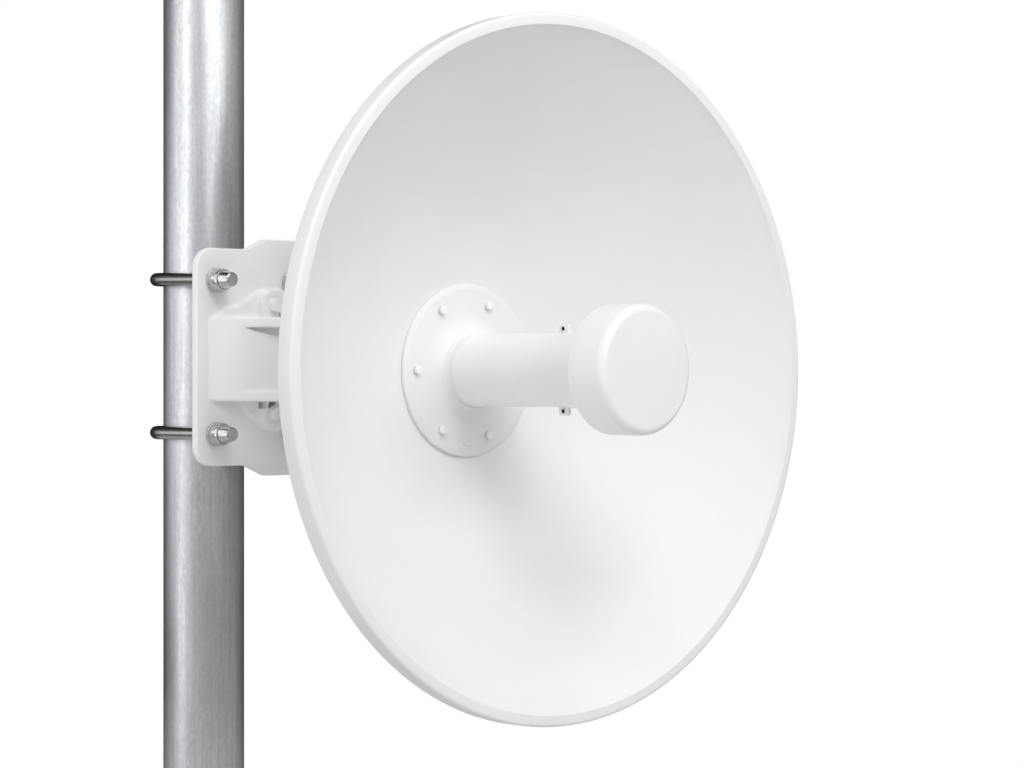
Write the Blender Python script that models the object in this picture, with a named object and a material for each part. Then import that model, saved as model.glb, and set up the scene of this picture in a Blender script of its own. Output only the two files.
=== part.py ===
"""Wireless dish antenna on a short pole: a round dish with a central feed, held on the pole by two U-bolts.

Metres, +Z up. The origin is the centre of the foot plate's underside, on the pole's axis.
The dish looks along -Y, and its axis stands to the +X side of the pole.
"""

import math

import bmesh
import bpy
from mathutils import Matrix, Vector

# Clear distance left between solids that touch on the real object
GAP = 0.0003

# Pole and foot
POLE_R = 0.03805
POLE_WALL = 0.0032
POLE_TOP = 1.000
FOOT_SIDE = 0.200
FOOT_THICK = 0.012
FOOT_CORNER_R = 0.012
FOOT_HOLE_R = 0.007
FOOT_HOLE_INSET = 0.025
GUSSET_REACH = 0.048
GUSSET_HEIGHT = 0.060
GUSSET_THICK = 0.006
GUSSET_TOE = 0.006
GUSSET_SINK = 0.002
POLE_CAP_R = 0.0395
POLE_CAP_THICK = 0.005
POLE_CAP_DEPTH = 0.022
POLE_CAP_ROUND = 0.003

# Clamp on the pole, with distances in front of the pole's axis
DISH_X = 0.160
DISH_Z = 0.600
BRACKET_Z = DISH_Z + 0.012
ROD_R = 0.006
UBOLT_R = POLE_R + ROD_R + GAP
UBOLT_RISE = 0.0705
STUD_END = 0.1010
PLATE_BACK = 0.0675
PLATE_FRONT = 0.0755
PLATE_LEFT = -0.0640
PLATE_LOW_HALF = 0.1000
PLATE_TALL_HALF = 0.1100
PLATE_RISE_START = -0.0124
PLATE_RISE_END = 0.0111
PLATE_RISE_START_R = 0.020
PLATE_RISE_END_R = 0.012
PLATE_CORNER_R = 0.018
UBOLT_HOLE_R = 0.0068
WASHER_R = 0.0110
WASHER_THICK = 0.0025
NUT_ACROSS = 0.019
NUT_CORNER_R = 0.01055
NUT_THICK = 0.0115
NUT_COLLAR_R = 0.0080
NUT_COLLAR_THICK = 0.0052
NUT_COLLAR_ROUND = 0.0014
SADDLE_HALF_WIDTH = 0.0315
SADDLE_HALF_HEIGHT = 0.015
SADDLE_HORN = 0.0285

# Arm from the plate out to the dish's hub
PAD_X = 0.032
PAD_RISE = -0.002
PAD_R = 0.066
PAD_FRONT = 0.0808
ARM_BACK = PLATE_FRONT + GAP
ARM_LEFT = -0.0540
ARM_HALF = 0.039
RIB_THICK = 0.0083
WEB_SHORT = 0.002
ARM_BOLT_R = 0.0535
ARM_BOLT_ANGLES = (111, 249, 0)
BOSS_R = 0.0150
BOSS_FRONT = 0.0885
SCALLOP_R = 0.0155
RING_OUT_R = 0.074
RING_IN_R = 0.040
RING_BACK = 0.1565
HUB_BACK = 0.1660
HUB_R = 0.078
HUB_HOLE_R = 0.0365
HUB_BOLT_R = 0.062
HUB_BOLT_ANGLES = (70, 110, 250, 290)
BOLT_HEAD_R = 0.0065
BOLT_HEAD_THICK = 0.0055

# Ribs and the wall between them seen from above as (x, forward), and the low ridge as (x, up from the arm)
RIB_PLAN = ((ARM_LEFT, ARM_BACK), (-0.0235, 0.0918), (0.0860, 0.1585), (0.1200, 0.1585), (0.0700, ARM_BACK))
WEB_PLAN = ((ARM_LEFT, ARM_BACK), (-0.0235, 0.0918), (0.0940, 0.1230), (0.1040, 0.1170), (0.0100, ARM_BACK))
RIDGE = ((ARM_LEFT + 0.002, ARM_HALF - 0.001), (0.0028, 0.0603), (0.0200, 0.0520), (0.0100, 0.0300))
RIDGE_BACK = 0.0763
RIDGE_FRONT = 0.0815

# Dish
FOCAL = 0.166
VERTEX = 0.1817
SHELL = 0.0025
DISH_HOLE_R = 0.036
BOWL_R = 0.3095
BOWL_RINGS = 8
LIP_IN_R = 0.3115
LIP_BACK_R = 0.3130
RIM_R = 0.321
RIM_ROUND = 0.0045
RIM_FRONT = 0.3275
SKIRT_BACK = 0.310

# Feed
FLANGE_R = 0.0807
FLANGE_BACK = 0.1918
FLANGE_FRONT = 0.1965
FLANGE_SIDE = 0.0034
FLANGE_SLOPE = 0.0050
FLANGE_SWELL = (
    (0.0540, 0.1965),
    (0.0470, 0.1975),
    (0.0410, 0.1995),
    (0.0370, 0.2020),
    (0.0350, 0.2046),
    (0.0346, 0.2105),
)
FLANGE_SCREW_ANGLES = (0, 68, 122, 180, 238, 292)
FLANGE_SCREW_R = 0.0655
SCREW_HEAD_R = 0.0042
SCREW_HEAD_THICK = 0.0034
PLUG_R = 0.0042
PLUG_THICK = 0.0012
PLUG_ANGLE = 267
TUBE_R = 0.0336
TUBE_WALL = 0.003
TUBE_BACK = 0.2108
COLLAR_BACK = 0.3175
COLLAR_SLEEVE = 0.0007
LUG_HALF_THICK = 0.0020
LUG_REACH = 0.0412
LUG_CORNER = 0.0022
LUG_SINK = 0.0003
LUG_FRONT = 0.3300
LUG_SCREW_R = 0.0018
LUG_SCREW_THICK = 0.0006
LUG_SCREW_REACH = 0.0372
CAP_R = 0.0580
CAP_BACK = 0.3840
CAP_FRONT = 0.4265
CAP_ROUND = 0.0075
CAP_EDGE = 0.0015
BOSS_BACK = 0.118
BOSS_EDGE = 0.002
FEED_BOSS_R = 0.034
CONNECTOR_X = 0.016
CONNECTOR_R = 0.008
CONNECTOR_BORE_R = 0.0045
CONNECTOR_BORE_DEPTH = 0.008
CONNECTOR_COLLAR_R = 0.011
CONNECTOR_COLLAR_THICK = 0.006
CONNECTOR_END = 0.096

# Each finish as (colour, roughness, metallic)
FINISHES = {
    "galvanised_steel": ((0.42, 0.44, 0.46), 0.42, 0.9),
    "zinc_hardware": ((0.30, 0.30, 0.30), 0.35, 1.0),
    "bracket_coating": ((0.86, 0.86, 0.86), 0.45, 0.0),
    "dish_coating": ((0.88, 0.88, 0.88), 0.45, 0.0),
    "coated_screws": ((0.86, 0.86, 0.86), 0.40, 0.0),
    "feed_plastic": ((0.84, 0.84, 0.83), 0.40, 0.0),
    "black_plastic": ((0.03, 0.03, 0.03), 0.50, 0.0),
    "connector_metal": ((0.55, 0.52, 0.46), 0.30, 1.0),
}


def clear_scene():
    for old in list(bpy.data.objects):
        bpy.data.objects.remove(old, do_unlink=True)


def finish(name, kind):
    """The object's own material in one of the finishes above."""
    colour, roughness, metallic = FINISHES[kind]
    material = bpy.data.materials.new(name + "_" + kind)
    material.use_nodes = True
    shader = material.node_tree.nodes["Principled BSDF"]
    shader.inputs["Base Color"].default_value = (*colour, 1.0)
    shader.inputs["Roughness"].default_value = roughness
    shader.inputs["Metallic"].default_value = metallic
    material.diffuse_color = (*colour, 1.0)
    return material


def empty(name, location, rotation):
    frame = bpy.data.objects.new(name, None)
    frame.location = location
    frame.rotation_euler = rotation
    bpy.context.scene.collection.objects.link(frame)
    return frame


def solid(name, bm, kind, parent=None, location=(0, 0, 0), rotation=(0, 0, 0)):
    """Turns a finished bmesh into a named object, smooth where its faces meet at under 35 degrees."""
    bmesh.ops.remove_doubles(bm, verts=bm.verts, dist=1e-6)
    bmesh.ops.recalc_face_normals(bm, faces=bm.faces)
    mesh = bpy.data.meshes.new(name)
    bm.to_mesh(mesh)
    bm.free()
    mesh.shade_smooth()
    mesh.set_sharp_from_angle(angle=math.radians(35))
    mesh.materials.append(finish(name, kind))
    made = bpy.data.objects.new(name, mesh)
    made.parent = parent
    made.location = location
    made.rotation_euler = rotation
    bpy.context.scene.collection.objects.link(made)
    return made


def boolean(target, operation, bm, kind, parent=None, location=(0, 0, 0)):
    """Joins to the target, or cuts from it, the shape in the bmesh, kept as a hidden helper."""
    helper = solid(target.name + "_helper", bm, kind, parent, location)
    helper.hide_render = True
    helper.display_type = "WIRE"
    modifier = target.modifiers.new(operation.lower(), "BOOLEAN")
    modifier.operation = operation
    modifier.solver = "EXACT"
    modifier.object = helper


def turned(outline, steps, closed=False):
    """A turned shape about local Z from points (radius, height)."""
    bm = bmesh.new()
    points = [bm.verts.new((radius, 0, height)) for radius, height in outline]
    edges = [bm.edges.new(pair) for pair in zip(points, points[1:])]
    if closed:
        edges.append(bm.edges.new((points[-1], points[0])))
    centre = (0, 0, 0)
    axis = (0, 0, 1)
    profile = points + edges
    bmesh.ops.spin(bm, geom=profile, cent=centre, axis=axis, angle=math.tau, steps=steps, use_merge=True)
    return bm


def polar(radius, degrees, x=0.0, y=0.0):
    return x + radius * math.cos(math.radians(degrees)), y + radius * math.sin(math.radians(degrees))


def arc(radius, x, y, start, stop, steps):
    return [polar(radius, start + (stop - start) * i / steps, x, y) for i in range(steps + 1)]


def circle(radius, steps, x=0.0, y=0.0):
    return [polar(radius, 360 * i / steps, x, y) for i in range(steps)]


def hexagon(across, corner_radius):
    """A hexagon of this size across its flats, with its corners cut off where a circle would cut them."""
    cut = math.degrees(math.acos(across / 2 / corner_radius))
    return [polar(corner_radius, 60 * side + turn) for side in range(6) for turn in (-cut, cut)]


def rounded(corners, steps=5):
    """An outline from corners (x, y, radius), each rounded by an arc that is tangent to both sides."""
    outline = []
    for i, (x, y, radius) in enumerate(corners):
        here = Vector((x, y))
        back = (Vector(corners[i - 1][:2]) - here).normalized()
        ahead = (Vector(corners[(i + 1) % len(corners)][:2]) - here).normalized()
        half = back.angle(ahead) / 2
        centre = here + (back + ahead).normalized() * radius / math.sin(half)
        start = here + back * radius / math.tan(half) - centre
        stop = here + ahead * radius / math.tan(half) - centre
        turn = start.angle_signed(stop)
        outline += [tuple(centre + Matrix.Rotation(-turn * i / steps, 2) @ start) for i in range(steps + 1)]
    return outline


def sheet(outline, low, high, holes=()):
    """A flat plate from low to high along local Z, with its holes."""
    bm = bmesh.new()
    for loop in (outline, *holes):
        corners = [bm.verts.new((x, y, low)) for x, y in loop]
        for first, second in zip(corners, corners[1:] + corners[:1]):
            bm.edges.new((first, second))
    filled = bmesh.ops.triangle_fill(bm, use_beauty=True, use_dissolve=False, edges=bm.edges[:])
    faces = [item for item in filled["geom"] if isinstance(item, bmesh.types.BMFace)]
    raised = bmesh.ops.extrude_face_region(bm, geom=faces, use_keep_orig=True)
    top = [item for item in raised["geom"] if isinstance(item, bmesh.types.BMVert)]
    bmesh.ops.translate(bm, verts=top, vec=(0, 0, high - low))
    return bm


def slab(plan, bottom, top):
    """A block from bottom to top along the bracket's upright axis, its plan given as (x, forward)."""
    bm = sheet(plan, bottom, top)
    bmesh.ops.transform(bm, matrix=Matrix.Rotation(math.pi / 2, 4, "X"), verts=bm.verts)
    bmesh.ops.scale(bm, vec=(1, -1, 1), verts=bm.verts)
    return bm


def domed(radius, height):
    """Half the outline of a low domed screw head."""
    edge = height * 0.6
    return [(0, 0), (radius, 0)] + arc(edge, radius - edge, height - edge, 0, 90, 2) + [(0, height)]


def bowl(radius):
    """How far in front of the pole's axis the dish's reflecting face lies at this radius."""
    return VERTEX + radius**2 / (4 * FOCAL)


def bowl_back(radius, depth):
    """The point (radius, forward) that lies this deep behind the reflecting face."""
    slope = math.atan(radius / (2 * FOCAL))
    return radius + depth * math.sin(slope), bowl(radius) - depth * math.cos(slope)


# The foot and the pole


def foot_plate():
    """The square foot with its four holes, and the four gussets welded to it."""
    half = FOOT_SIDE / 2
    corners = [(sx * half, sy * half, FOOT_CORNER_R) for sx, sy in ((-1, -1), (1, -1), (1, 1), (-1, 1))]
    inset = half - FOOT_HOLE_INSET
    holes = [circle(FOOT_HOLE_R, 16, sx * inset, sy * inset) for sx in (-1, 1) for sy in (-1, 1)]
    foot = solid("foot_plate", sheet(rounded(corners), 0.0, FOOT_THICK, holes), "galvanised_steel")
    near = POLE_R + GAP
    gusset = [
        (near, FOOT_THICK - GUSSET_SINK),
        (near + GUSSET_REACH, FOOT_THICK - GUSSET_SINK),
        (near + GUSSET_REACH, FOOT_THICK + GUSSET_TOE),
        (near + GUSSET_TOE, FOOT_THICK + GUSSET_HEIGHT),
        (near, FOOT_THICK + GUSSET_HEIGHT),
    ]
    for turn in range(4):
        bm = sheet(gusset, -GUSSET_THICK / 2, GUSSET_THICK / 2)
        upright = Matrix.Rotation(math.tau * turn / 4, 4, "Z") @ Matrix.Rotation(math.pi / 2, 4, "X")
        bmesh.ops.transform(bm, matrix=upright, verts=bm.verts)
        boolean(foot, "UNION", bm, "galvanised_steel")


def pole():
    low = FOOT_THICK + GAP
    inside = POLE_R - POLE_WALL
    outline = [(POLE_R, low), (POLE_R, POLE_TOP), (inside, POLE_TOP), (inside, low)]
    solid("pole", turned(outline, 40, closed=True), "galvanised_steel")


def pole_cap():
    plug = POLE_R - POLE_WALL - GAP
    plug_end = POLE_TOP - POLE_CAP_DEPTH
    seat = POLE_TOP + GAP
    top = seat + POLE_CAP_THICK
    outline = [(0, plug_end), (plug, plug_end), (plug, seat), (POLE_CAP_R, seat)]
    outline += arc(POLE_CAP_ROUND, POLE_CAP_R - POLE_CAP_ROUND, top - POLE_CAP_ROUND, 0, 90, 3)
    outline += [(0, top)]
    solid("pole_cap", turned(outline, 32), "black_plastic")


# The clamp on the pole


def ubolt(name, rise, bracket):
    """A round rod bent round the back of the pole, with both legs ending in front of the plate."""
    curve = bpy.data.curves.new(name, "CURVE")
    curve.dimensions = "3D"
    curve.bevel_depth = ROD_R
    curve.bevel_resolution = 3
    curve.use_fill_caps = True
    route = [(UBOLT_R, STUD_END)] + arc(UBOLT_R, 0.0, 0.0, 0, -180, 15) + [(-UBOLT_R, STUD_END)]
    spline = curve.splines.new("POLY")
    spline.points.add(len(route) - 1)
    for point, (x, forward) in zip(spline.points, route):
        point.co = (x, 0, forward, 1)
    curve.materials.append(finish(name, "zinc_hardware"))
    made = bpy.data.objects.new(name, curve)
    made.parent = bracket
    made.location = (0, rise, 0)
    bpy.context.scene.collection.objects.link(made)


def nut_and_washer(tag, x, y, bracket):
    seat = PLATE_FRONT + GAP
    washer = sheet(circle(WASHER_R, 24), seat, seat + WASHER_THICK, [circle(UBOLT_HOLE_R, 16)])
    solid("washer_" + tag, washer, "zinc_hardware", bracket, (x, y, 0))
    seat += WASHER_THICK + GAP
    bore = ROD_R + GAP
    body = sheet(hexagon(NUT_ACROSS, NUT_CORNER_R), seat, seat + NUT_THICK, [circle(bore, 16)])
    nut = solid("nut_" + tag, body, "zinc_hardware", bracket, (x, y, 0))
    low = seat + NUT_THICK / 2
    high = seat + NUT_THICK + NUT_COLLAR_THICK
    shoulder = NUT_COLLAR_ROUND
    collar = [(bore, low), (NUT_COLLAR_R, low), (NUT_COLLAR_R, high - shoulder)]
    collar += [(NUT_COLLAR_R - shoulder, high), (bore, high)]
    boolean(nut, "UNION", turned(collar, 16, closed=True), "zinc_hardware", bracket, (x, y, 0))


def saddle(name, rise, bracket):
    """The block with a V that seats the plate on the round of the pole."""
    front = PLATE_BACK - GAP
    apex = (POLE_R + GAP) * math.sqrt(2)
    horn = apex - SADDLE_HORN
    half = SADDLE_HALF_WIDTH
    plan = [(-half, front), (-half, horn), (-SADDLE_HORN, horn), (0, apex)]
    plan += [(SADDLE_HORN, horn), (half, horn), (half, front)]
    block = slab(plan, -SADDLE_HALF_HEIGHT, SADDLE_HALF_HEIGHT)
    solid(name, block, "bracket_coating", bracket, (0, rise, 0))


def plate_outline():
    """The side next to the pole, and its mirror image about the round pad's centre."""
    left = [
        (PLATE_RISE_END, PLATE_TALL_HALF, PLATE_RISE_END_R),
        (PLATE_RISE_START, PLATE_LOW_HALF, PLATE_RISE_START_R),
        (PLATE_LEFT, PLATE_LOW_HALF, PLATE_CORNER_R),
        (PLATE_LEFT, -PLATE_LOW_HALF, PLATE_CORNER_R),
        (PLATE_RISE_START, -PLATE_LOW_HALF, PLATE_RISE_START_R),
        (PLATE_RISE_END, -PLATE_TALL_HALF, PLATE_RISE_END_R),
    ]
    right = [(2 * PAD_X - x, y, radius) for x, y, radius in reversed(left)]
    return rounded(left + right)


def pole_plate(bracket):
    places = [(side * UBOLT_R, up * UBOLT_RISE) for side in (-1, 1) for up in (-1, 1)]
    holes = [circle(UBOLT_HOLE_R, 20, x, y) for x, y in places]
    solid("pole_plate", sheet(plate_outline(), PLATE_BACK, PLATE_FRONT, holes), "bracket_coating", bracket)


# The arm and the hub


def offset_arm(bracket):
    """One casting: a round pad on the plate, two ribs with a wall between, and the ring behind the dish."""
    kind = "bracket_coating"
    rise = (0, PAD_RISE, 0)
    web_half = ARM_HALF - WEB_SHORT
    pad = sheet(circle(PAD_R, 56), ARM_BACK, PAD_FRONT)
    arm = solid("offset_arm", pad, kind, bracket, (PAD_X, PAD_RISE, 0))
    boolean(arm, "UNION", slab(RIB_PLAN, ARM_HALF - RIB_THICK, ARM_HALF), kind, bracket, rise)
    boolean(arm, "UNION", slab(RIB_PLAN, -ARM_HALF, RIB_THICK - ARM_HALF), kind, bracket, rise)
    boolean(arm, "UNION", slab(WEB_PLAN, -web_half, web_half), kind, bracket, rise)
    boolean(arm, "UNION", sheet(RIDGE, RIDGE_BACK, RIDGE_FRONT), kind, bracket, rise)
    ring = sheet(circle(RING_OUT_R, 40), RING_BACK, HUB_BACK - GAP, [circle(RING_IN_R, 32)])
    boolean(arm, "UNION", ring, kind, bracket, (DISH_X, DISH_Z - BRACKET_Z, 0))
    for degrees in ARM_BOLT_ANGLES:
        x, y = polar(ARM_BOLT_R, degrees, PAD_X, PAD_RISE)
        boolean(arm, "UNION", sheet(circle(BOSS_R, 24), RIDGE_BACK, BOSS_FRONT), kind, bracket, (x, y, 0))
    for up in (-1, 1):
        scallop = sheet(circle(SCALLOP_R, 24), PLATE_BACK, STUD_END)
        boolean(arm, "DIFFERENCE", scallop, kind, bracket, (UBOLT_R, up * UBOLT_RISE, 0))


def arm_bolts(bracket):
    for number, degrees in enumerate(ARM_BOLT_ANGLES, 1):
        x, y = polar(ARM_BOLT_R, degrees, PAD_X, PAD_RISE)
        head = turned(domed(BOLT_HEAD_R, BOLT_HEAD_THICK), 14)
        solid(f"arm_bolt_{number}", head, "coated_screws", bracket, (x, y, BOSS_FRONT + GAP))


def hub_plate(dish):
    """A round disc whose front follows the back of the dish."""
    inner = (HUB_HOLE_R, bowl_back(HUB_HOLE_R, SHELL + GAP)[1])
    middle = bowl_back((HUB_HOLE_R + HUB_R) / 2, SHELL + GAP)
    outer = (HUB_R, bowl_back(HUB_R, SHELL + GAP)[1])
    outline = [(HUB_HOLE_R, HUB_BACK), (HUB_R, HUB_BACK), outer, middle, inner]
    solid("hub_plate", turned(outline, 40, closed=True), "bracket_coating", dish)


def hub_bolts(dish):
    for number, degrees in enumerate(HUB_BOLT_ANGLES, 1):
        x, y = polar(HUB_BOLT_R, degrees)
        place = (x, y, RING_BACK - GAP)
        head = turned(domed(BOLT_HEAD_R, BOLT_HEAD_THICK), 14)
        solid(f"hub_bolt_{number}", head, "zinc_hardware", dish, place, (math.pi, 0, 0))


# The dish and its feed


def reflector(dish):
    """A thin paraboloid with a flat lip, a rounded edge and a skirt turned back round it."""
    radii = [DISH_HOLE_R, (DISH_HOLE_R + FLANGE_R) / 2]
    radii += [FLANGE_R + (BOWL_R - FLANGE_R) * i / BOWL_RINGS for i in range(BOWL_RINGS + 1)]
    edge = RIM_R - RIM_ROUND
    outline = [(radius, bowl(radius)) for radius in radii]
    outline += [(LIP_IN_R, RIM_FRONT)]
    outline += arc(RIM_ROUND, edge, RIM_FRONT - RIM_ROUND, 90, 0, 4)
    outline += [(RIM_R, SKIRT_BACK), (RIM_R - SHELL, SKIRT_BACK)]
    outline += arc(RIM_ROUND - SHELL, edge, RIM_FRONT - RIM_ROUND, 0, 90, 2)
    outline += [(LIP_BACK_R, RIM_FRONT - SHELL)]
    outline += [bowl_back(radius, SHELL) for radius in reversed(radii)]
    solid("reflector", turned(outline, 60, closed=True), "dish_coating", dish)


def feed_flange(dish):
    """A round flange that swells into the foot of the feed tube."""
    outline = [(0, FLANGE_BACK), (FLANGE_R, FLANGE_BACK), (FLANGE_R, FLANGE_BACK + FLANGE_SIDE)]
    outline += [(FLANGE_R - FLANGE_SLOPE, FLANGE_FRONT), *FLANGE_SWELL, (0, FLANGE_SWELL[-1][1])]
    solid("feed_flange", turned(outline, 40), "feed_plastic", dish)
    for number, angle in enumerate(FLANGE_SCREW_ANGLES):
        x, y = polar(FLANGE_SCREW_R, angle)
        head = turned(domed(SCREW_HEAD_R, SCREW_HEAD_THICK), 12)
        solid(f"flange_screw_{number + 1}", head, "coated_screws", dish, (x, y, FLANGE_FRONT + GAP))
    x, y = polar(FLANGE_SCREW_R, PLUG_ANGLE)
    plug = turned(domed(PLUG_R, PLUG_THICK), 12)
    solid("flange_plug", plug, "feed_plastic", dish, (x, y, FLANGE_FRONT + GAP))


def feed_tube(dish):
    inside = TUBE_R - TUBE_WALL
    front = CAP_BACK - GAP
    outline = [(TUBE_R, TUBE_BACK), (TUBE_R, front), (inside, front), (inside, TUBE_BACK)]
    solid("feed_tube", turned(outline, 32, closed=True), "feed_plastic", dish)


def feed_collar(dish):
    """The sleeve on the end of the tube, with an upright lug above and below it, and the lugs' screws."""
    inside = TUBE_R + GAP
    sleeve = inside + COLLAR_SLEEVE
    front = CAP_BACK - GAP
    outline = [(inside, COLLAR_BACK), (sleeve, COLLAR_BACK), (sleeve, front), (inside, front)]
    collar = solid("feed_collar", turned(outline, 32, closed=True), "feed_plastic", dish)
    root = sleeve - LUG_SINK
    cut = LUG_CORNER
    ear = [(COLLAR_BACK, root), (COLLAR_BACK, LUG_REACH - cut), (COLLAR_BACK + cut, LUG_REACH)]
    ear += [(LUG_FRONT - cut, LUG_REACH), (LUG_FRONT, LUG_REACH - cut), (LUG_FRONT, root)]
    for number, up in ((1, 1), (2, -1)):
        lug = sheet(ear, -LUG_HALF_THICK, LUG_HALF_THICK)
        upright = Matrix(((0, 0, 1, 0), (0, up, 0, 0), (1, 0, 0, 0), (0, 0, 0, 1)))
        bmesh.ops.transform(lug, matrix=upright, verts=lug.verts)
        boolean(collar, "UNION", lug, "feed_plastic", dish)
        head = turned(domed(LUG_SCREW_R, LUG_SCREW_THICK), 10)
        place = (-LUG_HALF_THICK - GAP, up * LUG_SCREW_REACH, (COLLAR_BACK + LUG_FRONT) / 2)
        solid(f"lug_screw_{number}", head, "zinc_hardware", dish, place, (0, -math.pi / 2, 0))


def feed_cap(dish):
    outline = [(0, CAP_BACK), (CAP_R - CAP_EDGE, CAP_BACK), (CAP_R, CAP_BACK + CAP_EDGE)]
    outline += arc(CAP_ROUND, CAP_R - CAP_ROUND, CAP_FRONT - CAP_ROUND, 0, 90, 4)
    outline += [(0, CAP_FRONT)]
    solid("feed_cap", turned(outline, 44), "feed_plastic", dish)


def feed_boss(dish):
    """The feed's stub behind the dish, and its two sockets."""
    front = FLANGE_BACK - GAP
    outline = [(0, BOSS_BACK), (FEED_BOSS_R - BOSS_EDGE, BOSS_BACK), (FEED_BOSS_R, BOSS_BACK + BOSS_EDGE)]
    outline += [(FEED_BOSS_R, front), (0, front)]
    solid("feed_boss", turned(outline, 32), "bracket_coating", dish)
    seat = BOSS_BACK - GAP
    collar = seat - CONNECTOR_COLLAR_THICK
    floor = CONNECTOR_END + CONNECTOR_BORE_DEPTH
    outline = [(0, floor), (CONNECTOR_BORE_R, floor), (CONNECTOR_BORE_R, CONNECTOR_END)]
    outline += [(CONNECTOR_R, CONNECTOR_END), (CONNECTOR_R, collar), (CONNECTOR_COLLAR_R, collar)]
    outline += [(CONNECTOR_COLLAR_R, seat), (0, seat)]
    for name, side in (("connector_left", -1), ("connector_right", 1)):
        solid(name, turned(outline, 16), "connector_metal", dish, (side * CONNECTOR_X, 0, 0))


def main():
    clear_scene()
    forward = (math.pi / 2, 0, 0)
    bracket = empty("bracket_centre", (0, 0, BRACKET_Z), forward)
    dish = empty("dish_axis", (DISH_X, 0, DISH_Z), forward)
    foot_plate()
    pole()
    pole_cap()
    for tag, up in (("upper", 1), ("lower", -1)):
        ubolt("ubolt_" + tag, up * UBOLT_RISE, bracket)
        saddle("saddle_" + tag, up * UBOLT_RISE, bracket)
        for side, x in (("left", -UBOLT_R), ("right", UBOLT_R)):
            nut_and_washer(tag + "_" + side, x, up * UBOLT_RISE, bracket)
    pole_plate(bracket)
    offset_arm(bracket)
    arm_bolts(bracket)
    hub_plate(dish)
    hub_bolts(dish)
    reflector(dish)
    feed_flange(dish)
    feed_tube(dish)
    feed_collar(dish)
    feed_cap(dish)
    feed_boss(dish)


main()
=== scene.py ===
import math

import bmesh
import bpy
from bpy.props import FloatProperty, FloatVectorProperty, IntProperty, PointerProperty
from mathutils import Matrix, Vector


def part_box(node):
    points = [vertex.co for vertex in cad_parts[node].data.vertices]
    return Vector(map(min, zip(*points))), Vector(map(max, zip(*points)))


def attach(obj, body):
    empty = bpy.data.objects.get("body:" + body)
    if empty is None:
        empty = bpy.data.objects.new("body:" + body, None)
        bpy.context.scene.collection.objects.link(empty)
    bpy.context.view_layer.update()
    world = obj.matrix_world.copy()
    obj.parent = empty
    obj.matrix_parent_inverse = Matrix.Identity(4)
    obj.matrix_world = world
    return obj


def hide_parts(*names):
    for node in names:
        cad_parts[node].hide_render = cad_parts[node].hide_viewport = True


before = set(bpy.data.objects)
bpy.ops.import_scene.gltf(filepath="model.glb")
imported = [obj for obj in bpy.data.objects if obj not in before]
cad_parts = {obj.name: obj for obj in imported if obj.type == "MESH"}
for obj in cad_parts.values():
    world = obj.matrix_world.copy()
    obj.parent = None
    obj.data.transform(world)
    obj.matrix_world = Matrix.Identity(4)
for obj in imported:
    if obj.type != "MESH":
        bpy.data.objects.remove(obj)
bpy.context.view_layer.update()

bl_info = {
    "name": "Wireless dish antenna",
    "version": (1, 0, 0),
    "blender": (4, 5, 0),
    "location": "3D View > Sidebar > Antenna",
    "description": "Builds a round dish antenna on a galvanised pole, piece by piece, and a plain studio",
    "category": "Add Mesh",
}

# Places read from the solids, in metres


def middle(node):
    low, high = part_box(node)
    return (low + high) / 2


def front_of(node):
    """How far in front of the pole's axis the node's front lies."""
    return -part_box(node)[0].y


def back_of(node):
    return -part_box(node)[1].y


def half_width(node):
    low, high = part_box(node)
    return (high.x - low.x) / 2


def turned_size(node):
    """Radius, back and front of a node that is turned about the dish's axis."""
    return half_width(node), back_of(node), front_of(node)


DISH_CENTRE = Vector((middle("reflector").x, 0, middle("reflector").z))
CLAMP_CENTRE = Vector((0, 0, (middle("ubolt_upper").z + middle("ubolt_lower").z) / 2))
UBOLT_RISE = middle("ubolt_upper").z - CLAMP_CENTRE.z
ROD_X = middle("nut_upper_right").x
ROD_HOLE_R = 0.0068
FORWARD = Matrix.Rotation(math.pi / 2, 4, "X")
ON_DISH = Matrix.Translation(DISH_CENTRE) @ FORWARD
ON_CLAMP = Matrix.Translation(CLAMP_CENTRE) @ FORWARD
GAP = 0.0003
WELD = 1e-6


def length_property(name, description, default, low, high):
    return FloatProperty(
        name=name, description=description, default=default, min=low, max=high,
        unit="LENGTH", subtype="DISTANCE",
    )


def share_property(name, description):
    return FloatProperty(name=name, description=description, default=1.0, min=0.0, max=4.0, subtype="FACTOR")


def colour_property(name, description, default):
    return FloatVectorProperty(
        name=name, description=description, default=default, size=3, min=0.0, max=1.0, subtype="COLOR"
    )


class AntennaSizes(bpy.types.PropertyGroup):
    focal_length: length_property("Focal length", "From the dish's vertex to its focus", 0.166, 0.12, 0.3)
    dish_wall: length_property("Dish wall", "Thickness of the dish's sheet", 0.0025, 0.001, 0.004)
    rim_round: length_property("Rim rounding", "Radius of the dish's outer edge", 0.0031, 0.003, 0.005)
    pole_wall: length_property("Pole wall", "Thickness of the pole's tube", 0.0032, 0.002, 0.006)
    plate_edge: length_property("Plate edge", "Rounding of the plate's edges", 0.0014, 0.0005, 0.0035)
    cast_cell: length_property("Casting grid", "Grid that the casting is fused on", 0.0012, 0.001, 0.003)
    cast_rounds: IntProperty(
        name="Casting smoothing", description="How many times the casting is smoothed, for wider fillets",
        default=5, min=1, max=60,
    )
    thread_pitch: length_property("Thread pitch", "Pitch of the thread on the rods", 0.00175, 0.001, 0.0025)
    cap_round: length_property("Feed cap rounding", "Rounding of the cap's front edge", 0.0075, 0.003, 0.012)


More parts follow.
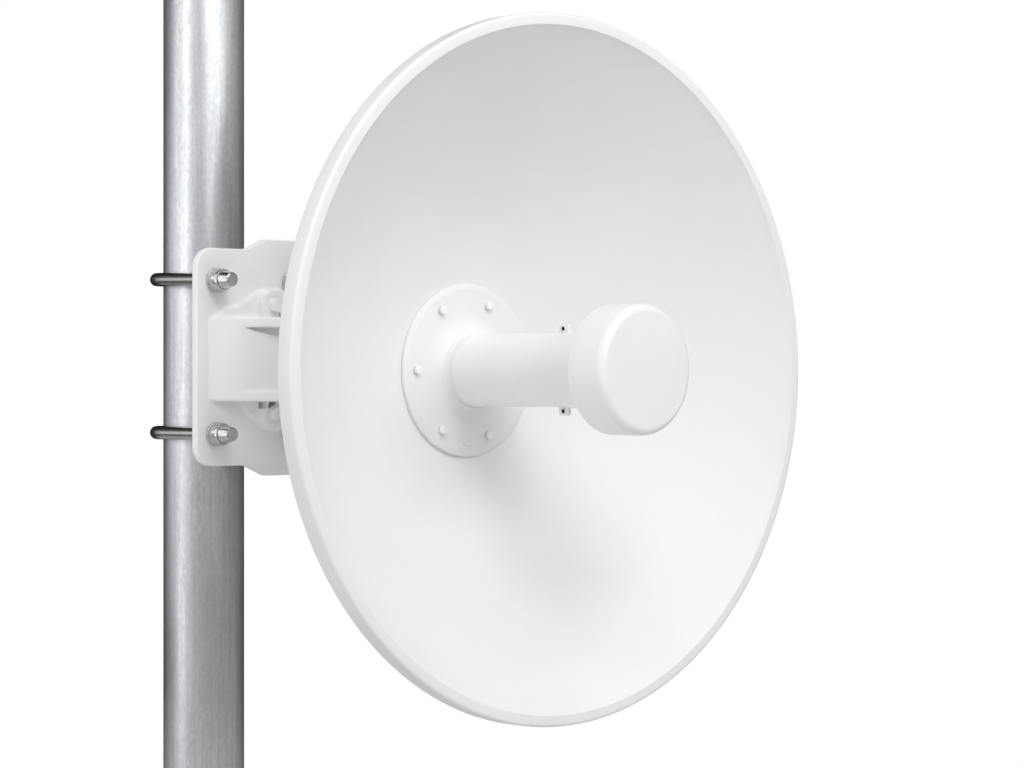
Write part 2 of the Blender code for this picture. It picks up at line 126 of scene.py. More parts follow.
class AntennaColours(bpy.types.PropertyGroup):
    dish: colour_property("Dish", "Powder coat on the dish", (0.88, 0.88, 0.88))
    bracket: colour_property("Bracket", "Powder coat on the plate, arm and hub", (0.92, 0.92, 0.92))
    feed: colour_property("Feed", "Moulded plastic of the feed", (0.905, 0.905, 0.907))
    pole: colour_property("Pole", "Galvanised steel of the pole and foot", (0.63, 0.645, 0.665))
    rods: colour_property("Rods", "Plated steel of the U-bolts", (0.48, 0.48, 0.485))
    hardware: colour_property("Hardware", "Zinc plating of nuts, washers and bolts", (0.53, 0.53, 0.53))
    pole_cap: colour_property("Pole cap", "Black plastic of the pole's cap", (0.018, 0.018, 0.018))
    sockets: colour_property("Sockets", "Nickel plating of the feed's sockets", (0.62, 0.60, 0.54))


class AntennaStudio(bpy.types.PropertyGroup):
    floor_radius: length_property("Floor radius", "Radius of the round studio floor", 1.4, 0.5, 5.0)
    panel_power: share_property("Panel lights", "Power of the panel lights, as a share of their own")
    sky_strength: share_property("Sky strength", "Strength of the soft light, as a share of its own")


# Shaping


def polar(radius, degrees, x=0.0, y=0.0):
    return x + radius * math.cos(math.radians(degrees)), y + radius * math.sin(math.radians(degrees))


def spaced(start, stop, steps):
    return [start + (stop - start) * i / steps for i in range(steps + 1)]


def arc(radius, x, y, start, stop, steps):
    return [polar(radius, degrees, x, y) for degrees in spaced(start, stop, steps)]


def circle(radius, steps, x=0.0, y=0.0):
    return [polar(radius, 360 * i / steps, x, y) for i in range(steps)]


def hexagon(across, corner_radius):
    """A hexagon of this size across its flats, with its corners turned down to the radius."""
    cut = math.degrees(math.acos(across / 2 / corner_radius))
    turns = range(0, 360, 60)
    return [point for turn in turns for point in arc(corner_radius, 0, 0, turn - cut, turn + cut, 4)]


def corner_arc(before, corner, after, radius, steps):
    """Points of an arc of this radius that rounds the corner and is tangent to both sides."""
    here = Vector(corner)
    back = (Vector(before) - here).normalized()
    ahead = (Vector(after) - here).normalized()
    half = back.angle(ahead) / 2
    centre = here + (back + ahead).normalized() * radius / math.sin(half)
    start = here + back * radius / math.tan(half) - centre
    stop = here + ahead * radius / math.tan(half) - centre
    turn = start.angle_signed(stop)
    return [tuple(centre + Matrix.Rotation(-turn * i / steps, 2) @ start) for i in range(steps + 1)]


def rounded(corners, steps, closed=True):
    """An outline from corners (x, y, radius), each rounded where its radius isn't 0."""
    outline = []
    last = len(corners) - 1
    for i, (x, y, radius) in enumerate(corners):
        if radius == 0 or (not closed and i in (0, last)):
            outline.append((x, y))
        else:
            after = corners[(i + 1) % len(corners)]
            outline += corner_arc(corners[i - 1][:2], (x, y), after[:2], radius, steps)
    return outline


def lathe(outline, steps, closed=False):
    """A shape turned about local Z from points (radius, height)."""
    bm = bmesh.new()
    points = [bm.verts.new((radius, 0, height)) for radius, height in outline]
    edges = [bm.edges.new(pair) for pair in zip(points, points[1:])]
    if closed:
        edges.append(bm.edges.new((points[-1], points[0])))
    bmesh.ops.spin(
        bm, geom=points + edges, cent=(0, 0, 0), axis=(0, 0, 1), angle=math.tau, steps=steps, use_merge=True
    )
    return tidy(bm)


def turned(corners, corner_steps, steps, closed=False):
    """A shape turned about local Z from corners (radius, height, rounding)."""
    return lathe(rounded(corners, corner_steps, closed), steps, closed)


def outward(bm):
    bmesh.ops.recalc_face_normals(bm, faces=bm.faces)
    return bm


def tidy(bm):
    bmesh.ops.remove_doubles(bm, verts=bm.verts, dist=WELD)
    return outward(bm)


def only(kind, items):
    return [item for item in items if isinstance(item, kind)]


def everything(bm):
    return bm.verts[:] + bm.edges[:] + bm.faces[:]


def sheet(outline, low, high, holes=(), edge=0.0, segments=3):
    """A plate from low to high along local Z, with holes, and both its rims rounded by edge."""
    bm = bmesh.new()
    for loop in (outline, *holes):
        corners = [bm.verts.new((x, y, low + edge)) for x, y in loop]
        for first, second in zip(corners, corners[1:] + corners[:1]):
            bm.edges.new((first, second))
    filled = bmesh.ops.triangle_fill(bm, use_beauty=True, use_dissolve=False, edges=bm.edges[:])
    faces = only(bmesh.types.BMFace, filled["geom"])
    raised = bmesh.ops.extrude_face_region(bm, geom=faces, use_keep_orig=True)
    top = only(bmesh.types.BMVert, raised["geom"])
    bmesh.ops.translate(bm, verts=top, vec=(0, 0, high - low - 2 * edge))
    outward(bm)
    if edge > 0:
        for side in (-1, 1):
            for step in range(segments):
                here = math.tau / 4 * step / segments
                there = math.tau / 4 * (step + 1) / segments
                caps = [face for face in bm.faces if face.normal.z * side > 0.99]
                bmesh.ops.inset_region(
                    bm, faces=caps, thickness=edge * (math.cos(here) - math.cos(there)),
                    depth=edge * (math.sin(there) - math.sin(here)), use_boundary=True, use_even_offset=True,
                )
    return bm


def block(plan, bottom, top):
    """A plate standing along local Y, its plan given as (x, forward)."""
    return outward(moved(moved(sheet(plan, bottom, top), FORWARD), Matrix.Diagonal((1, -1, 1, 1))))


def moved(bm, matrix):
    bmesh.ops.transform(bm, matrix=matrix, verts=bm.verts)
    return bm


def at(x=0.0, y=0.0, z=0.0):
    return Matrix.Translation((x, y, z))


def spun(degrees, axis="Z"):
    return Matrix.Rotation(math.radians(degrees), 4, axis)


def shifted(bm, x=0.0, y=0.0, z=0.0):
    return moved(bm, at(x, y, z))


def copy_of(bm, matrix):
    return moved(bm.copy(), matrix)


def merged(*shapes):
    """One bmesh that holds all of these."""
    whole = bmesh.new()
    for shape in shapes:
        mesh = bpy.data.meshes.new("scratch")
        shape.to_mesh(mesh)
        shape.free()
        whole.from_mesh(mesh)
        bpy.data.meshes.remove(mesh)
    return whole


def linked(name, data):
    """An object in the scene with this mesh, light or camera."""
    made = bpy.data.objects.new(name, data)
    bpy.context.scene.collection.objects.link(made)
    return made


def made_object(name, bm):
    """An object in the scene that takes over this bmesh."""
    mesh = bpy.data.meshes.new(name)
    bm.to_mesh(mesh)
    bm.free()
    return linked(name, mesh)


def modify(made, kind, **settings):
    modifier = made.modifiers.new(kind.lower(), kind)
    for name, value in settings.items():
        setattr(modifier, name, value)


def with_modifiers(made):
    """The bmesh of a scratch object as its modifiers leave it. The object is removed."""
    bpy.context.view_layer.update()
    graph = bpy.context.evaluated_depsgraph_get()
    mesh = bpy.data.meshes.new_from_object(made.evaluated_get(graph), depsgraph=graph)
    bm = bmesh.new()
    bm.from_mesh(mesh)
    bpy.data.meshes.remove(mesh)
    remove_scratch(made)
    return bm


def remove_scratch(made):
    mesh = made.data
    bpy.data.objects.remove(made, do_unlink=True)
    bpy.data.meshes.remove(mesh)


def carve(body, tool, operation):
    """Cuts or crosses two closed shapes."""
    body = made_object("scratch", body)
    tool = made_object("scratch", tool)
    modify(body, "BOOLEAN", operation=operation, solver="EXACT", object=tool)
    bm = with_modifiers(body)
    remove_scratch(tool)
    return tidy(bm)


def soft_edged(bm, width):
    """A closed shape with its sharp edges rounded."""
    made = made_object("scratch", bm)
    modify(made, "BEVEL", width=width, segments=3, limit_method="ANGLE", angle_limit=math.radians(35))
    return with_modifiers(made)


def fused(bm, cell, rounds, bed):
    """Closed shapes fused as one casting, with soft fillets where they meet each other and the bed."""
    spread = 0.012
    near = [vert.co.copy() for vert in bm.verts if vert.co.z < bed + 0.001]
    left, right = min(co.x for co in near) - spread, max(co.x for co in near) + spread
    bottom, top = min(co.y for co in near) - spread, max(co.y for co in near) + spread
    corners = [(left, bottom), (right, bottom), (right, top), (left, top)]
    made = made_object("scratch", merged(bm, sheet(corners, bed - 0.006, bed - 0.0001)))
    modify(made, "REMESH", mode="VOXEL", voxel_size=cell)
    modify(made, "SMOOTH", factor=0.5, iterations=rounds)
    whole = with_modifiers(made)
    bmesh.ops.bisect_plane(
        whole, geom=everything(whole), plane_co=(0, 0, bed), plane_no=(0, 0, -1), clear_outer=True
    )
    bmesh.ops.holes_fill(whole, edges=whole.edges[:])
    return whole


def piece(name, bm, material, nodes=(), place=None, sharp=35):
    """Turns a finished bmesh into a piece of the object that rides on the root body."""
    if place is not None:
        moved(bm, place)
    made = made_object(name, bm)
    made.data.shade_smooth()
    made.data.set_sharp_from_angle(angle=math.radians(sharp))
    made.data.materials.append(material)
    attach(made, "root")
    if nodes:
        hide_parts(*nodes)


# Materials


class Wire:
    """The output of a shader node, so that sums on it are written as Python."""

    def __init__(self, recipe, socket):
        self.recipe = recipe
        self.socket = socket

    def maths(self, operation, first, second):
        return self.recipe.node("ShaderNodeMath", {"operation": operation}, {0: first, 1: second})

    def __add__(self, other):
        return self.maths("ADD", self, other)

    def __sub__(self, other):
        return self.maths("SUBTRACT", self, other)

    def __rsub__(self, other):
        return self.maths("SUBTRACT", other, self)

    def __mul__(self, other):
        return self.maths("MULTIPLY", self, other)

    __radd__ = __add__
    __rmul__ = __mul__


class NodeMaker:
    """Makes nodes in one tree and wires them up."""

    def __init__(self, tree):
        self.tree = tree

    def node(self, kind, settings, inputs, output=0):
        made = self.tree.nodes.new(kind)
        for name, value in settings.items():
            setattr(made, name, value)
        for socket, value in inputs.items():
            self.feed(made.inputs[socket], value)
        return Wire(self, made.outputs[output]) if made.outputs else None

    def feed(self, socket, value):
        if isinstance(value, Wire):
            self.tree.links.new(value.socket, socket)
        else:
            socket.default_value = value


class Recipe(NodeMaker):
    """A material and the nodes in it, read in object coordinates."""

    def __init__(self, name, roughness, metallic=0.0, specular=0.5):
        self.material = bpy.data.materials.new(name)
        self.material.use_nodes = True
        super().__init__(self.material.node_tree)
        self.shader = self.tree.nodes["Principled BSDF"]
        self.shader.inputs["Roughness"].default_value = roughness
        self.shader.inputs["Metallic"].default_value = metallic
        self.shader.inputs["Specular IOR Level"].default_value = specular
        self.place = self.node("ShaderNodeTexCoord", {}, {}, "Object")

    def noise(self, scale, detail, roughness, stretch=None):
        """A noise pattern, drawn out in the directions where its stretch is under 1."""
        place = self.place
        if stretch:
            place = self.node("ShaderNodeMapping", {}, {"Vector": self.place, "Scale": stretch})
        inputs = {"Vector": place, "Scale": scale, "Detail": detail, "Roughness": roughness}
        return self.node("ShaderNodeTexNoise", {}, inputs, "Fac")

    def mapped(self, value, low, high, to_low, to_high):
        inputs = {"Value": value, "From Min": low, "From Max": high, "To Min": to_low, "To Max": to_high}
        return self.node("ShaderNodeMapRange", {"interpolation_type": "SMOOTHSTEP"}, inputs)

    def spread(self, pattern, to_low=0.0, to_high=1.0):
        """A noise pattern, which stays near one half, brought to the whole of this range."""
        return self.mapped(pattern, 0.3, 0.7, to_low, to_high)

    def mixed(self, factor, first, second):
        """A colour between two, by a factor."""
        return self.node("ShaderNodeMix", {"data_type": "RGBA"}, {0: factor, 6: first, 7: second}, 2)

    def bump(self, height, distance, strength, under=None):
        inputs = {"Height": height, "Distance": distance, "Strength": strength}
        if under is not None:
            inputs["Normal"] = under
        return self.node("ShaderNodeBump", {}, inputs)

    def finish(self, colour, roughness=None, normal=None):
        for socket, value in (("Base Color", colour), ("Roughness", roughness), ("Normal", normal)):
            if value is not None:
                self.feed(self.shader.inputs[socket], value)
        return self.material


def tint(colour, factor=1.0, shift=(0.0, 0.0, 0.0)):
    """A colour made lighter or darker and moved a little, with its alpha."""
    return tuple(max(0.0, min(1.0, c * factor + s)) for c, s in zip(colour, shift)) + (1.0,)


def powder_coat(name, colour, roughness=0.42):
    """White powder coat: faint orange peel, faint clouding, and a duller film in patches."""
    mix = Recipe(name, roughness, specular=0.45)
    cloud = mix.noise(9.0, 3.0, 0.55)
    grain = mix.noise(700.0, 2.0, 0.5)
    peel = mix.noise(420.0, 1.0, 0.4)
    dust = mix.noise(60.0, 4.0, 0.6)
    base = mix.mixed(mix.spread(cloud), tint(colour, 0.985), tint(colour, 1.01))
    base = mix.mixed(mix.mapped(dust, 0.55, 0.8, 0.0, 0.25), base, tint(colour, 0.955, (0.0, -0.002, -0.006)))
    rough = mix.spread(cloud, roughness - 0.04, roughness + 0.05) + (grain - 0.5) * 0.08
    return mix.finish(base, rough, mix.bump(peel, 0.00008, 0.5))


def moulded_plastic(name, colour, roughness=0.38):
    """Moulded plastic: a fine even grain and faint flow marks along the tube."""
    mix = Recipe(name, roughness)
    cloud = mix.noise(14.0, 2.0, 0.5)
    flow = mix.noise(6.0, 3.0, 0.6, (1.0, 0.25, 1.0))
    grain = mix.noise(1100.0, 2.0, 0.6)
    base = mix.mixed(mix.spread(cloud), tint(colour, 0.985), tint(colour, 1.01))
    rough = mix.spread(flow, roughness - 0.04, roughness + 0.06) + (grain - 0.5) * 0.1
    return mix.finish(base, rough, mix.bump(grain, 0.00003, 0.5))


def galvanised(name, colour):
    """Hot-dip zinc: a mottle drawn out down the steel, cloudy patches, faint streaks and a wavy sheen."""
    mix = Recipe(name, 0.3, metallic=1.0)
    cloud = mix.noise(10.0, 5.0, 0.6, (1.0, 1.0, 0.4))
    grain = mix.noise(450.0, 4.0, 0.7, (1.0, 1.0, 0.4))
    blotch = mix.noise(90.0, 5.0, 0.65, (1.0, 1.0, 0.55))
    streak = mix.noise(210.0, 3.0, 0.6, (1.0, 1.0, 0.04))
    wave = mix.noise(26.0, 2.0, 0.5, (1.0, 1.0, 0.35))
    cells = {"Vector": mix.place, "Scale": 190.0, "Randomness": 1.0}
    cells = mix.node("ShaderNodeTexVoronoi", {"feature": "F1"}, cells, "Color")
    spangle = mix.node("ShaderNodeSeparateColor", {}, {0: cells})
    share = mix.mapped(cloud, 0.32, 0.68, 0.0, 1.0)
    base = mix.mixed(share, tint(colour, 0.94, (0.0, 0.001, 0.003)), tint(colour, 1.06))
    base = mix.mixed(mix.mapped(blotch, 0.36, 0.64, 0.0, 0.6), base, tint(colour, 0.86))
    base = mix.mixed(mix.mapped(grain, 0.36, 0.64, 0.0, 0.9), base, tint(colour, 0.80))
    base = mix.mixed(mix.mapped(streak, 0.4, 0.7, 0.0, 0.4), base, tint(colour, 1.22))
    base = mix.mixed(spangle * 0.16, base, tint(colour, 0.8, (0.0, 0.002, 0.006)))
    rough = mix.spread(cloud, 0.34, 0.42) + spangle * 0.04 + (grain - 0.5) * 0.18
    low = mix.bump(wave, 0.0006, 0.06)
    return mix.finish(base, rough, mix.bump(grain, 0.00004, 0.5, low))


def plated_steel(name, colour, roughness, grain):
    """Zinc plating: fine turning marks, small pits and a mottled sheen, as strong as the grain says."""
    mix = Recipe(name, roughness, metallic=1.0)
    mottle = mix.noise(260.0, 4.0, 0.6)
    scratch = mix.noise(900.0, 2.0, 0.6, (1.0, 0.12, 1.0))
    pits = mix.noise(1500.0, 2.0, 0.6)
    base = mix.mixed(mix.spread(mottle, 0.0, grain), tint(colour, 1.06), tint(colour, 0.88))
    base = mix.mixed(mix.mapped(pits, 0.45, 0.7, 0.0, 0.35 * grain), base, tint(colour, 0.6))
    rough = mix.spread(mottle, roughness - 0.04, roughness + 0.05) + (scratch - 0.5) * 0.1
    low = mix.bump(scratch, 0.00002, 0.4 * grain)
    return mix.finish(base, rough, mix.bump(pits, 0.00002, 0.3, low))


def black_plastic(name, colour):
    mix = Recipe(name, 0.5)
    cloud = mix.noise(30.0, 3.0, 0.6)
    grain = mix.noise(1200.0, 2.0, 0.5)
    base = mix.mixed(mix.spread(cloud), tint(colour), tint(colour, 1.0, (0.012, 0.012, 0.012)))
    return mix.finish(base, mix.spread(cloud, 0.45, 0.6), mix.bump(grain, 0.00005, 0.6))


# Pieces


class AntennaOperator:
    """What the operators below share: the sizes, the colours and the common finishes."""

    bl_options = {"REGISTER", "UNDO"}

    @property
    def sizes(self):
        return bpy.context.scene.antenna_sizes

    @property
    def colours(self):
        return bpy.context.scene.antenna_colours

    def coated(self, name, bm, nodes, place=None, sharp=35):
        coat = found_or_made("bracket_powder_coat", powder_coat, self.colours.bracket)
        piece(name, bm, coat, nodes, place, sharp)

    def zinc_dipped(self, name, bm, nodes):
        zinc = found_or_made("pole_galvanising", galvanised, self.colours.pole)
        piece(name, bm, zinc, nodes)

    def plated(self, name, bm, nodes=(), place=None):
        zinc = found_or_made("zinc_plating", plated_steel, self.colours.hardware, 0.21, 0.2)
        piece(name, bm, zinc, nodes, place)

    def screw_coated(self, name, bm, nodes, place):
        coat = found_or_made("screw_coat", powder_coat, self.colours.bracket, 0.36)
        piece(name, bm, coat, nodes, place)

    def moulded(self, name, bm, nodes):
        plastic = found_or_made("feed_moulding", moulded_plastic, self.colours.feed)
        piece(name, bm, plastic, nodes, ON_DISH)


def found_or_made(name, make, colour, *finish):
    return bpy.data.materials.get(name) or make(name, colour[:], *finish)


def numbered(stem, count):
    return [f"{stem}_{number}" for number in range(1, count + 1)]


RIM_R = half_width("reflector")
RIM_FRONT = front_of("reflector")
DISH_HOLE_R = 0.036
BOWL_R = RIM_R - 0.0115
VERTEX = back_of("reflector") + 0.0007
SKIRT_BACK = 0.310
SKIRT_HEM = 0.0008


def bowl(radius, focal):
    return VERTEX + radius**2 / (4 * focal)


def bowl_back(radius, focal, depth):
    slope = math.atan(radius / (2 * focal))
    return radius + depth * math.sin(slope), bowl(radius, focal) - depth * math.cos(slope)


class MakeDish(AntennaOperator, bpy.types.Operator):
    """Spins the parabolic dish with its flat lip, rounded edge and turned-back skirt"""

    bl_idname = "antenna.make_dish"
    bl_label = "Dish"

    def execute(self, context):
        focal = self.sizes.focal_length
        wall = self.sizes.dish_wall
        edge = self.sizes.rim_round
        radii = spaced(DISH_HOLE_R, BOWL_R, 44)
        inner = [(radius, bowl(radius, focal)) for radius in radii]
        lip = rounded(
            [
                (*inner[-1], 0),
                (BOWL_R + 0.0010, RIM_FRONT, 0.0012),
                (RIM_R, RIM_FRONT, edge),
                (RIM_R, SKIRT_BACK, SKIRT_HEM),
                (RIM_R - wall, SKIRT_BACK, SKIRT_HEM),
                (RIM_R - wall, RIM_FRONT - wall, edge - wall),
                (BOWL_R + 0.003, RIM_FRONT - wall, 0.001),
                (*bowl_back(BOWL_R, focal, wall), 0),
            ],
            6, closed=False,
        )
        outer = [bowl_back(radius, focal, wall) for radius in reversed(radii[:-1])]
        outline = inner[:-1] + lip + outer
        coat = powder_coat("dish_powder_coat", self.colours.dish[:], 0.45)
        shell = lathe(outline, 224, closed=True)
        piece("dish_shell", shell, coat, ["reflector"], ON_DISH)
        return {"FINISHED"}


HUB_HOLE_R = 0.0365
HUB_BOLT_ACROSS = 0.013
HUB_BOLT_HEIGHT = 0.0053
HUB_BOLT_SEAT = 0.0055


class MakeHub(AntennaOperator, bpy.types.Operator):
    """Makes the round hub behind the dish and the bolts that hold it to the arm's ring"""

    bl_idname = "antenna.make_hub"
    bl_label = "Hub"

    def execute(self, context):
        focal = self.sizes.focal_length
        depth = self.sizes.dish_wall + GAP
        radius = half_width("hub_plate")
        hole = HUB_HOLE_R
        back = back_of("hub_plate")
        radii = spaced(hole, radius, 8)
        face = [(r, bowl_back(r, focal, depth)[1]) for r in radii]
        corners = [(*face[-1], 0), (radius, back, 0.003), (hole, back, 0.002), (*face[0], 0)]
        outline = rounded(corners, 5, closed=False) + face[1:-1]
        self.coated("hub_disc", lathe(outline, 96, closed=True), ["hub_plate"], ON_DISH)
        nodes = numbered("hub_bolt", 4)
        heads = []
        for node in nodes:
            place = middle(node)
            seat = at(place.x, -back_of(node) - HUB_BOLT_SEAT, place.z) @ spun(-90, "X")
            heads.append(moved(bolt_head(HUB_BOLT_ACROSS, HUB_BOLT_HEIGHT), seat))
        self.plated("hub_bolt_heads", merged(*heads), nodes)
        return {"FINISHED"}


def bolt_head(across, height):
    """A hexagon head with a chamfered top and a thin washer face, standing on local Z = 0."""
    corner = across * 0.565
    flat = across / 2 * 0.97
    reach = corner + 0.001
    slope = (corner - flat) * math.tan(math.radians(30))
    prism = sheet(hexagon(across, corner), 0.0004, height)
    crown = lathe([(0, 0), (reach, 0), (reach, height - slope - 0.0006), (flat, height), (0, height)], 48)
    return merged(carve(prism, crown, "INTERSECT"), sheet(circle(across * 0.48, 40), 0, 0.0005))


class MakePole(AntennaOperator, bpy.types.Operator):
    """Spins the galvanised tube and its plastic cap"""

    bl_idname = "antenna.make_pole"
    bl_label = "Pole"

    def execute(self, context):
        low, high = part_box("pole")
        radius = half_width("pole")
        inside = radius - self.sizes.pole_wall
        corners = [
            (inside, low.z, 0.0003), (radius, low.z, 0.0006), (radius, high.z, 0.0008),
            (inside, high.z, 0.0006),
        ]
        self.zinc_dipped("pole_tube", turned(corners, 3, 128, closed=True), ["pole"])
        floor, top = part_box("pole_cap")
        brim = half_width("pole_cap")
        plug = inside - GAP
        seat = high.z + GAP
        dent = top.z - 0.0008
        corners = [
            (0, floor.z, 0), (plug - 0.001, floor.z, 0.001), (plug, floor.z + 0.004, 0.001), (plug, seat, 0),
            (brim, seat, 0.0006), (brim, top.z, 0.003), (brim - 0.007, top.z, 0.001),
            (brim - 0.008, dent, 0.001), (0, dent, 0),
        ]
        black = black_plastic("end_cap_plastic", self.colours.pole_cap[:])
        piece("pole_end_cap", turned(corners, 4, 96), black, ["pole_cap"])
        return {"FINISHED"}


FOOT_THICK = 0.012
FOOT_CORNER_R = 0.012
ANCHOR_R = 0.007
ANCHOR_INSET = 0.025
GUSSET_REACH = 0.048
GUSSET_HALF = 0.003
GUSSET_BEAD = (0.042, 0.0026)
UPRIGHT_BEAD = (0.055, 0.0024)
RING_BEAD_R = 0.0032


class MakeFoot(AntennaOperator, bpy.types.Operator):
    """Makes the square foot with its anchor holes, the gussets and the weld beads"""

    bl_idname = "antenna.make_foot"
    bl_label = "Foot"

    def execute(self, context):
        low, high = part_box("foot_plate")
        half = high.x
        pole = half_width("pole")
        corners = [(sx * half, sy * half, FOOT_CORNER_R) for sx, sy in ((-1, -1), (1, -1), (1, 1), (-1, 1))]
        inset = half - ANCHOR_INSET
        holes = [circle(ANCHOR_R, 32, sx * inset, sy * inset) for sx in (-1, 1) for sy in (-1, 1)]
        shapes = [sheet(rounded(corners, 8), low.z, low.z + FOOT_THICK, holes, 0.0009, 2)]
        near = pole + GAP
        far = near + GUSSET_REACH
        gusset = rounded(
            [
                (near, FOOT_THICK - 0.002, 0), (far, FOOT_THICK - 0.002, 0), (far, FOOT_THICK + 0.006, 0.002),
                (near + 0.006, high.z, 0.002), (near, high.z, 0),
            ],
            4,
        )
        for turn in range(4):
            spin = spun(90 * turn)
            shapes.append(moved(sheet(gusset, -GUSSET_HALF, GUSSET_HALF, (), 0.0005, 2), spin @ FORWARD))
            for side in (-GUSSET_HALF, GUSSET_HALF):
                along = at(near + 0.004, side, FOOT_THICK) @ spun(90, "Y")
                shapes.append(moved(weld_bead(*GUSSET_BEAD), spin @ along))
                upright = at(near, side, FOOT_THICK + 0.003)
                shapes.append(moved(weld_bead(*UPRIGHT_BEAD), spin @ upright))
        shapes.append(shifted(weld_ring(pole + 0.0004, RING_BEAD_R), z=FOOT_THICK))
        self.zinc_dipped("foot_weldment", merged(*shapes), ["foot_plate"])
        return {"FINISHED"}


def weld_bead(length, radius):
    """A straight bead along local Z with the ripples of a hand weld."""
    steps = int(length / 0.0011)
    outline = [(0, 0)]
    for i in range(1, steps):
        ripple = 1 + 0.10 * math.sin(i * 2.1) + 0.05 * math.sin(i * 0.7)
        ends = min(1.0, 3.0 * i / steps, 3.0 * (steps - i) / steps) ** 0.5
        outline.append((radius * ripple * ends, length * i / steps))
    outline.append((0, length))
    return lathe(outline, 12)


def weld_ring(radius, bead):
    """A rippled bead all the way round the pole."""
    bm = lathe([polar(bead, 30 * i, radius, 0.0) for i in range(12)], 240, closed=True)
    for vert in bm.verts:
        angle = math.atan2(vert.co.y, vert.co.x)
        reach = math.hypot(vert.co.x, vert.co.y)
        ripple = 1 + 0.10 * math.sin(angle * 96) + 0.05 * math.sin(angle * 31)
        swell = (radius + (reach - radius) * ripple) / reach
        vert.co.x *= swell
        vert.co.y *= swell
        vert.co.z *= ripple
    return bm


PLATE_SIDE_STEP = 0.010
PLATE_EXTRA = 0.0015


class MakeClampPlate(AntennaOperator, bpy.types.Operator):
    """Makes the white clamp plate and the toothed V blocks between it and the pole"""

    bl_idname = "antenna.make_clamp_plate"
    bl_label = "Clamp plate"

    def execute(self, context):
        low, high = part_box("pole_plate")
        centre = (low.x + high.x) / 2
        left = low.x - PLATE_EXTRA
        tall = (high.z - low.z) / 2
        short = tall - PLATE_SIDE_STEP
        side = [
            (0.0149, tall, 0.012), (-0.0086, short, 0.020), (left, short, 0.018),
            (left, -short, 0.018), (-0.0086, -short, 0.020), (0.0149, -tall, 0.012),
        ]
        other = [(2 * centre - x, y, radius) for x, y, radius in reversed(side)]
        holes = [circle(ROD_HOLE_R, 32, sx * ROD_X, sy * UBOLT_RISE) for sx in (-1, 1) for sy in (-1, 1)]
        outline = rounded(side + other, 8)
        plate = sheet(outline, back_of("pole_plate"), front_of("pole_plate"), holes, self.sizes.plate_edge, 4)
        self.coated("clamp_plate", plate, ["pole_plate"], ON_CLAMP)
        for tag, up in (("upper", 1), ("lower", -1)):
            node = "saddle_" + tag
            self.coated("v_block_" + tag, shifted(v_block(node), y=up * UBOLT_RISE), [node], ON_CLAMP)
        return {"FINISHED"}


def v_block(node):
    """A block with a toothed V, standing along local Y."""
    low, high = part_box(node)
    half = high.x
    horn = back_of(node)
    front = front_of(node)
    reach = 0.0285
    teeth = 10
    left = []
    for i in range(teeth):
        x = -reach + reach * i / teeth
        left += [(x, horn + reach * i / teeth), (x + reach * 0.4 / teeth, horn + reach * (i + 0.9) / teeth)]
    right = [(-x, forward) for x, forward in reversed(left)]
    plan = [(-half, front), (-half, horn), *left, (0, horn + reach), *right, (half, horn), (half, front)]
    rise = (high.z - low.z) / 2
    return block(plan, -rise, rise)


ROD_R = 0.006
BEND_R = 0.0062
STUD_LENGTH = 0.0158
LEG_SHORT = 0.0150
WASHER_THICK = 0.0025
UPPER_LEAN = 1.5


class MakeUBolts(AntennaOperator, bpy.types.Operator):
    """Bends the two threaded rods round the pole and puts on their washers and lock nuts"""

    bl_idname = "antenna.make_ubolts"
    bl_label = "U-bolts"

    def execute(self, context):
        rod = plated_steel("rod_steel", self.colours.rods[:], 0.22, 0.10)
        thread = threaded_end(ROD_R, self.sizes.thread_pitch, STUD_LENGTH)
        nut = lock_nut()
        rim = half_width("washer_upper_left")
        corners = [
            (ROD_HOLE_R, 0, 0.0003), (rim, 0, 0.0004), (rim, WASHER_THICK, 0.0007),
            (ROD_HOLE_R, WASHER_THICK, 0.0004),
        ]
        disc = turned(corners, 3, 64, closed=True)
        for tag, up, lean in (("upper", 1, UPPER_LEAN), ("lower", -1, 0.0)):
            rise = up * UBOLT_RISE
            end = front_of("ubolt_" + tag)
            bent = shifted(bent_rod(BEND_R, ROD_X, end - LEG_SHORT), z=-end)
            bent = shifted(moved(bent, spun(lean, "X")), y=rise, z=end)
            piece("rod_" + tag, bent, rod, ["ubolt_" + tag], ON_CLAMP)
            for side, x, twist in (("left", -ROD_X, 17), ("right", ROD_X, 41)):
                name = f"{tag}_{side}"
                put = at(x, rise, back_of("washer_" + name))
                self.plated("washer_disc_" + name, copy_of(disc, put), ["washer_" + name], ON_CLAMP)
                put = at(x, rise, back_of("nut_" + name)) @ spun(twist)
                self.plated("lock_nut_" + name, copy_of(nut, put), ["nut_" + name], ON_CLAMP)
                put = at(x, rise, end - STUD_LENGTH)
                self.plated("stud_end_" + name, copy_of(thread, put), [], ON_CLAMP)
        for shape in (thread, nut, disc):
            shape.free()
        return {"FINISHED"}


